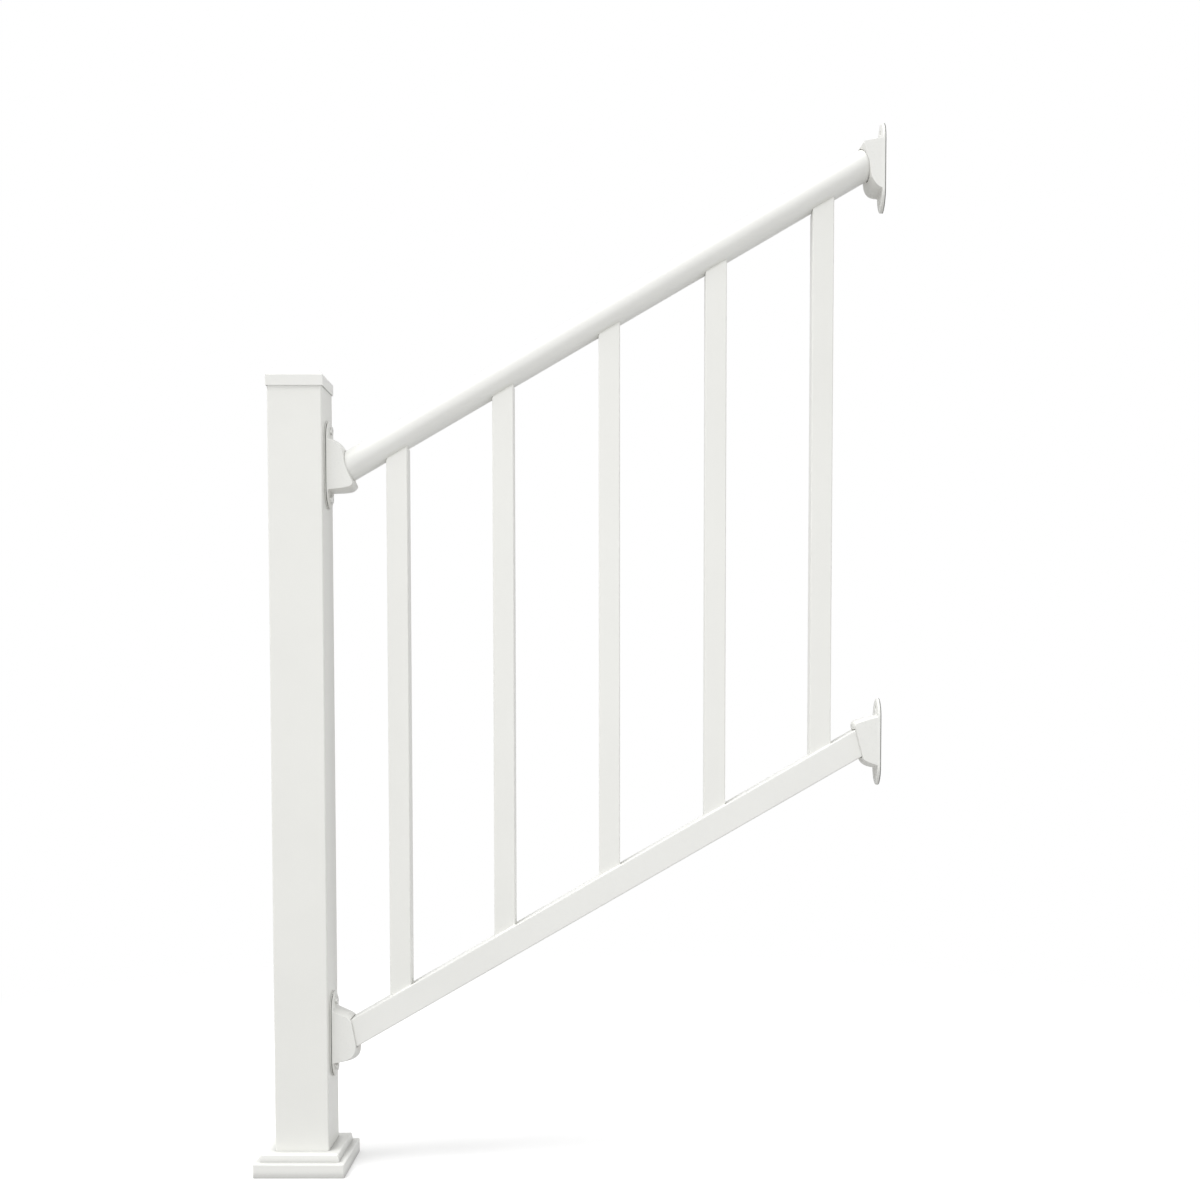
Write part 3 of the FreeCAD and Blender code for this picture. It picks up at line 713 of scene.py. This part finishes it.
class RAILING_OT_studio(RailingOperator, bpy.types.Operator):
    """Lays the floor, lights the surround and hangs the lamps"""

    bl_idname = "railing.studio"
    bl_label = "Set up the studio"

    # Half the floor's width, and how far it lies under the railing
    FLOOR_REACH = 30.0
    FLOOR_DROP = 0.2 * MM
    # The floor as the camera sees it: its colour, a glow on top of it, and the distances
    # from the railing's middle between which it fades into white
    PALE = (0.8, 0.8, 0.8)
    GLOW = 0.3
    SHADOW_ENDS = (0.7, 1.5)

    def seen(self, finish):
        """1 for what the camera sees straight, in a gloss or through glass."""
        camera, gloss, glass = finish.node(
            "ShaderNodeLightPath", out=("Is Camera Ray", "Is Glossy Ray", "Is Transmission Ray")
        )
        return (camera + gloss + glass).clamped()

    def surround(self, world, level):
        """Even light from all sides, with white behind the railing."""
        finish = Finish(world)
        bright = self.seen(finish) * (1.0 - level) + level
        sky = finish.node("ShaderNodeBackground", {}, {"Color": WHITE, "Strength": bright})
        finish.node("ShaderNodeOutputWorld", {}, {"Surface": sky}, out=None)

    def floor(self, context, colour):
        """Wide floor that the camera sees as white, but for the railing's own shadow."""
        mesh = bpy.data.meshes.new("floor")
        corners = [(-1, -1), (1, -1), (1, 1), (-1, 1)]
        mesh.from_pydata(
            [(x * self.FLOOR_REACH, y * self.FLOOR_REACH, -self.FLOOR_DROP) for x, y in corners],
            [],
            [(0, 1, 2, 3)],
        )
        floor = bpy.data.objects.new("floor", mesh)
        context.scene.collection.objects.link(floor)
        material, finish = new_material("studio_floor")
        matt = finish.node("ShaderNodeBsdfDiffuse", {}, {"Color": solid(colour)})
        pale = finish.node("ShaderNodeBsdfDiffuse", {}, {"Color": solid(self.PALE)})
        glow = finish.node("ShaderNodeEmission", {}, {"Color": WHITE, "Strength": self.GLOW})
        white = finish.node("ShaderNodeEmission", {}, {"Color": WHITE, "Strength": 1.0})
        lit = finish.node("ShaderNodeAddShader", {}, {0: pale, 1: glow})
        away = finish.node(
            "ShaderNodeVectorMath",
            {"operation": "DISTANCE"},
            {0: finish.node("ShaderNodeTexCoord", out="Object"), 1: (AIM.x, 0.0, 0.0)},
            out="Value",
        )
        far = finish.spread(away, *self.SHADOW_ENDS)
        shown = finish.node("ShaderNodeMixShader", {}, {0: far, 1: lit, 2: white})
        mixed = finish.node(
            "ShaderNodeMixShader", {}, {0: self.seen(finish), 1: matt, 2: shown}
        )
        finish.node("ShaderNodeOutputMaterial", {}, {"Surface": mixed}, out=None)
        mesh.materials.append(material)

    def lamp(self, context, name, place, size, level):
        """A square soft lamp that lights the railing's middle as strongly as level says."""
        data = bpy.data.lights.new(name, "AREA")
        data.size = size
        way = AIM - Vector(place)
        data.energy = level * (math.pi * way.length) ** 2
        lamp = bpy.data.objects.new(name, data)
        lamp.location = place
        lamp.rotation_euler = way.to_track_quat("-Z", "Y").to_euler()
        context.scene.collection.objects.link(lamp)

    def execute(self, context):
        studio = self.settings.studio
        context.scene.view_settings.view_transform = "Standard"
        world = bpy.data.worlds.new("surround")
        context.scene.world = world
        self.surround(world, studio.surround)
        self.floor(context, studio.floor)
        for side, (place, size) in LAMPS.items():
            self.lamp(context, f"{side}_lamp", place, size, getattr(studio, side))
        return {"FINISHED"}


class RAILING_OT_tubes(RailingOperator, bpy.types.Operator):
    """Coats the post, the two rails and the balusters"""

    bl_idname = "railing.tubes"
    bl_label = "Coat the tubes"

    def execute(self, context):
        coats = self.settings.coats
        # Painted shade in the joints; the rails' higher limit spreads it further out from their
        # joints
        for names, label, colour, limit in (
            (UPRIGHTS, "tube_coat", coats.tube, 0.3),
            (RAILS, "rail_coat", coats.rail, 0.68),
        ):
            coat(names, sprayed_coat(
                label,
                colour,
                gloss=coats.gloss,
                grain=coats.grain,
                relief=0.012 * MM,
                wear=0.25,
                crevice_shade=Seam(1.2 * MM, limit, 0.8),
            ))
        return {"FINISHED"}


class RAILING_OT_brackets(RailingOperator, bpy.types.Operator):
    """Casts the four brackets, each with its own cup, flange, socket and screw holes"""

    bl_idname = "railing.brackets"
    bl_label = "Cast the brackets"

    # Outlines across a cup, and how late they turn from the middle one to the cheek's
    STATIONS = 17
    SWELL = 1.6
    # How far the socket's cutter runs, in metres, and how far others pass a face, in mm
    SOCKET_RUN = 0.09
    PAST = 1.0

    def cup(self, name, seat):
        """The cup, lofted from its middle outline to those of its cheeks."""
        middle, cheek, hidden = CUPS[name]
        middle, cheek = eased(middle, 2), eased(cheek, 2)
        points = []
        for station in range(self.STATIONS):
            side = 2 * station / (self.STATIONS - 1) - 1
            bend = abs(side) ** self.SWELL * (hidden if side > 0 else 1.0)
            for (out, up), (cheek_out, cheek_up) in zip(middle, cheek):
                points.append(seat.spot(
                    out + (cheek_out - out) * bend,
                    side * CUP_HALF,
                    up + (cheek_up - up) * bend,
                ))
        return lofted(f"{name}_cup", points, len(middle))

    def flange(self, name, seat):
        """The pointed plate, with its front edge chamfered."""
        outline = flange_outline(12)
        points = []
        for out, grow in ((0.0, 1.0), (FLANGE - FLANGE_CHAMFER, 1.0), (FLANGE, FLANGE_FRONT)):
            points += [
                seat.spot(out, side / MM * grow * FLANGE_WAIST, up / MM * grow)
                for side, up in outline
            ]
        return lofted(f"{name}_flange", points, len(outline))

    def cutters(self, name, seat, gap):
        """The socket, the screw holes and the hollows in the flange's back."""
        way = seat.way
        half, corner, drop, floor, screw_up, hollows = SOCKETS[name.split("_")[-1]]
        along = Vector((math.cos(SLOPE), 0, math.sin(SLOPE))) * way
        over = Vector((-math.sin(SLOPE), 0, math.cos(SLOPE))) * way
        level, upright, outward = Vector((0, 1, 0)), Vector((0, 0, 1)), Vector((way, 0, 0))
        if corner is None:
            section = circle(half * MM + gap, 72)
        else:
            square = rounded_square(half * MM + gap, corner * MM, 4)
            section = [tuple(point) for point, _ in square]
        start = seat.spot(floor, 0, way * (floor * RUN_SLOPE - drop))
        yield prism(f"{name}_socket", section, start, along * self.SOCKET_RUN, level, over)
        for up in (-BORE_HEIGHT, BORE_HEIGHT):
            start = seat.spot(-self.PAST, 0, up)
            hole, run = circle(BORE * MM, 32), outward * (FLANGE + 2 * self.PAST) * MM
            yield prism(f"{name}_bore", hole, start, run, level, upright)
        start = seat.spot(RAIL_BORE_OUT, RAIL_BORE_START, way * screw_up)
        hole, run = circle(RAIL_BORE * MM, 24), level * RAIL_BORE_RUN * MM
        yield prism(f"{name}_screw", hole, start, run, outward, upright)
        for low, high, depth in hollows:
            wide, tall = HOLLOW_HALF * MM, (high - low) / 2 * MM
            block = [(-wide, -tall), (wide, -tall), (wide, tall), (-wide, tall)]
            start = seat.spot(-self.PAST, 0, way * (low + high) / 2)
            run = outward * (depth + self.PAST) * MM
            yield prism(f"{name}_hollow", block, start, run, level, upright)

    def execute(self, context):
        coats, joints = self.settings.coats, self.settings.joints
        material = cast_coat("casting_coat", coats.casting, coats.underside_shade, coats.gloss + 0.04)
        for name in BRACKETS:
            seat = Seat(name)
            mesh = cast(
                f"{name}_blank",
                self.cup(name, seat),
                [self.flange(name, seat)],
                list(self.cutters(name, seat, joints.socket_gap)),
                joints.cast_grain,
                joints.cast_runs,
                joints.cast_share,
            )
            casting = add_piece(f"{name}_casting", mesh, material)
            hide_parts(name)
        return {"FINISHED"}


class RAILING_OT_trims(RailingOperator, bpy.types.Operator):
    """Finishes the cap, the foot trim, the foot plate and its weld"""

    bl_idname = "railing.trims"
    bl_label = "Finish cap and foot"

    def execute(self, context):
        coats = self.settings.coats
        coat(TRIMS, sprayed_coat(
            "trim_coat",
            coats.trim,
            gloss=coats.gloss - 0.08,
            grain=coats.grain * 0.7,
            relief=0.01 * MM,
            wear=0.2,
            # Painted shade, wide and soft, that darkens the skirt's risers and inner steps
            crevice_shade=Seam(12 * MM, 0.95, 0.45),
        ))
        coat(STEELWORK, sprayed_coat(
            "steelwork_coat",
            coats.steelwork,
            gloss=coats.gloss + 0.08,
            grain=coats.grain * 0.5,
            relief=0.05 * MM,
            wear=0.4,
        ))
        return {"FINISHED"}


class RAILING_OT_screws(RailingOperator, bpy.types.Operator):
    """Finishes the screws"""

    bl_idname = "railing.screws"
    bl_label = "Finish the screws"

    def execute(self, context):
        coat(SCREWS, brushed_steel("screw_plate", self.settings.coats.screw))
        return {"FINISHED"}


class RAILING_OT_pads(RailingOperator, bpy.types.Operator):
    """Lays a rubber pad's dark edge round the back of each flange, also as painted shade for the
    shadow line there
    """

    bl_idname = "railing.pads"
    bl_label = "Lay the flange pads"

    # How far a pad's ring reaches in under its flange
    TUCK = 1.5 * MM

    def execute(self, context):
        joints = self.settings.joints
        material = rubber("shadow_line_rubber", self.settings.coats.pad)
        outline = flange_outline(10)
        for name in BRACKETS:
            seat = Seat(name)
            start = joints.pad_lift if seat.on_post else 0.0
            end = start + joints.pad_thickness
            points = []
            for depth, grow in (
                (start, -self.TUCK),
                (start, joints.pad_proud),
                (end, joints.pad_proud),
                (end, -self.TUCK),
            ):
                across = (1 + grow / seat.half) * FLANGE_WAIST
                rise = 1 + min(grow, 0.0) / seat.half
                for side, up in outline:
                    points.append(seat.spot(depth / MM, side / MM * across, up / MM * rise))
            faces = loop_faces(4, len(outline))
            pad = name.replace("bracket", "flange_shadow_line_pad")
            make_piece(pad, points, faces, material)
        return {"FINISHED"}


class RAILING_OT_joints(RailingOperator, bpy.types.Operator):
    """Lays the bead at each baluster's foot and the weld at its head"""

    bl_idname = "railing.joints"
    bl_label = "Lay the baluster joints"

    # A bead's outline to its size, the baluster's corner, and how deep the bead's root is
    BEAD = ((0.0, 1.0), (0.12, 0.55), (0.3, 0.3), (0.55, 0.12), (1.0, 0.0))
    CORNER = 1.5 * MM
    ROOT_IN, ROOT_DOWN = 0.3 * MM, 0.1 * MM
    # Rows across a head weld, how deep it bites into what it joins, and how far in from the
    # tube's sides it ends
    ROWS = 6
    BITE = 0.05 * MM
    END_INSET = 0.4 * MM
    # The lid beside a weld: how far past it the lid starts, how far in from the tube's front
    # it ends, and its height at both
    LID_STEP, LID_INSET = 0.2 * MM, 0.8 * MM
    LID_START, LID_END = 0.35 * MM, 0.2 * MM

    def foot_bead(self, name, leg, chance):
        """A small fillet bead round the foot, on the bottom rail's sloped top."""
        low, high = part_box(name)
        middle = (low + high) / 2
        half = (high.x - low.x) / 2
        outline = rounded_square(half, self.CORNER, 4)
        points = []
        for spot, out in outline:
            size = leg * chance.uniform(0.85, 1.15)
            ring = [(-self.ROOT_IN, size)]
            ring += [(size * across, size * up) for across, up in self.BEAD]
            ring += [(size, -self.ROOT_DOWN), (-self.ROOT_IN, -self.ROOT_DOWN)]
            for across, up in ring:
                side = spot + out * across
                rise = low.z + (half + side.x) * RUN_SLOPE
                points.append((middle.x + side.x, middle.y + side.y, rise + up))
        return points, loop_faces(len(outline), len(ring))

    def head_weld(self, name, reach):
        """Weld on each side of the line on which head and handrail touch, and a thin lid."""
        low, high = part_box(name)
        rail_low, rail_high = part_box("handrail")
        middle = (low + high) / 2
        half = (high.x - low.x) / 2
        radius = (rail_high.y - rail_low.y) / 2
        profile = []
        for row in range(self.ROWS + 1):
            across = MM + (reach - MM) * row / self.ROWS
            gap = (radius - math.sqrt(radius ** 2 - across ** 2)) / math.cos(SLOPE)
            profile.append((across, gap + self.BITE))
        profile.append((reach + self.LID_STEP, self.LID_START))
        profile.append((half - self.LID_INSET, self.LID_END))
        points, faces = [], []
        for side in (-1, 1):
            start = len(points)
            for across, lift in profile:
                for end, rise in ((-1, -self.BITE), (-1, lift), (1, lift), (1, -self.BITE)):
                    along = end * (half - self.END_INSET)
                    level = high.z + (along - half) * RUN_SLOPE
                    points.append((middle.x + along, middle.y + side * across, level + rise))
            faces += [
                tuple(start + corner for corner in face)
                for face in loft_faces(len(profile), 4)
            ]
        return points, faces

    def execute(self, context):
        joints, coats = self.settings.joints, self.settings.coats
        material = sprayed_coat(
            "joint_coat",
            coats.tube,
            gloss=coats.gloss + 0.05,
            grain=coats.grain * 0.6,
            relief=0.04 * MM,
            wear=0.2,
            # Painted shade in the crevices beside the beads and head welds
            crevice_shade=Seam(1.5 * MM, 0.75, 0.6),
        )
        chance = random.Random(11)
        for name in BALUSTERS:
            points, faces = self.foot_bead(name, joints.bead, chance)
            make_piece(f"{name}_foot_bead", points, faces, material)
            points, faces = self.head_weld(name, joints.saddle)
            make_piece(f"{name}_head_weld", points, faces, material)
        return {"FINISHED"}


class VIEW3D_PT_railing(bpy.types.Panel):
    """Settings and steps of the railing section"""

    bl_idname = "VIEW3D_PT_railing"
    bl_label = "Railing section"
    bl_space_type = "VIEW_3D"
    bl_region_type = "UI"
    bl_category = "Railing"

    def draw(self, context):
        settings = context.scene.railing
        for group in ("shot", "studio", "coats", "joints"):
            box = self.layout.box()
            box.label(text=group.capitalize())
            part = getattr(settings, group)
            for name in part.bl_rna.properties.keys():
                if name not in ("rna_type", "name"):
                    box.prop(part, name)
        for operator in STEPS:
            self.layout.operator(operator.bl_idname)


STEPS = (
    RAILING_OT_camera,
    RAILING_OT_studio,
    RAILING_OT_tubes,
    RAILING_OT_brackets,
    RAILING_OT_trims,
    RAILING_OT_screws,
    RAILING_OT_pads,
    RAILING_OT_joints,
)
CLASSES = (
    ShotSettings,
    StudioSettings,
    CoatSettings,
    JointSettings,
    RailingSettings,
    *STEPS,
    VIEW3D_PT_railing,
)


def register():
    for part in CLASSES:
        bpy.utils.register_class(part)
    bpy.types.Scene.railing = bpy.props.PointerProperty(type=RailingSettings)


def unregister():
    del bpy.types.Scene.railing
    for part in reversed(CLASSES):
        bpy.utils.unregister_class(part)


def main():
    register()
    bpy.ops.railing.camera()
    bpy.ops.railing.studio()
    bpy.ops.railing.tubes()
    bpy.ops.railing.brackets()
    bpy.ops.railing.trims()
    bpy.ops.railing.screws()
    bpy.ops.railing.pads()
    bpy.ops.railing.joints()
    bpy.context.view_layer.update()


if __name__ == "__main__":
    main()
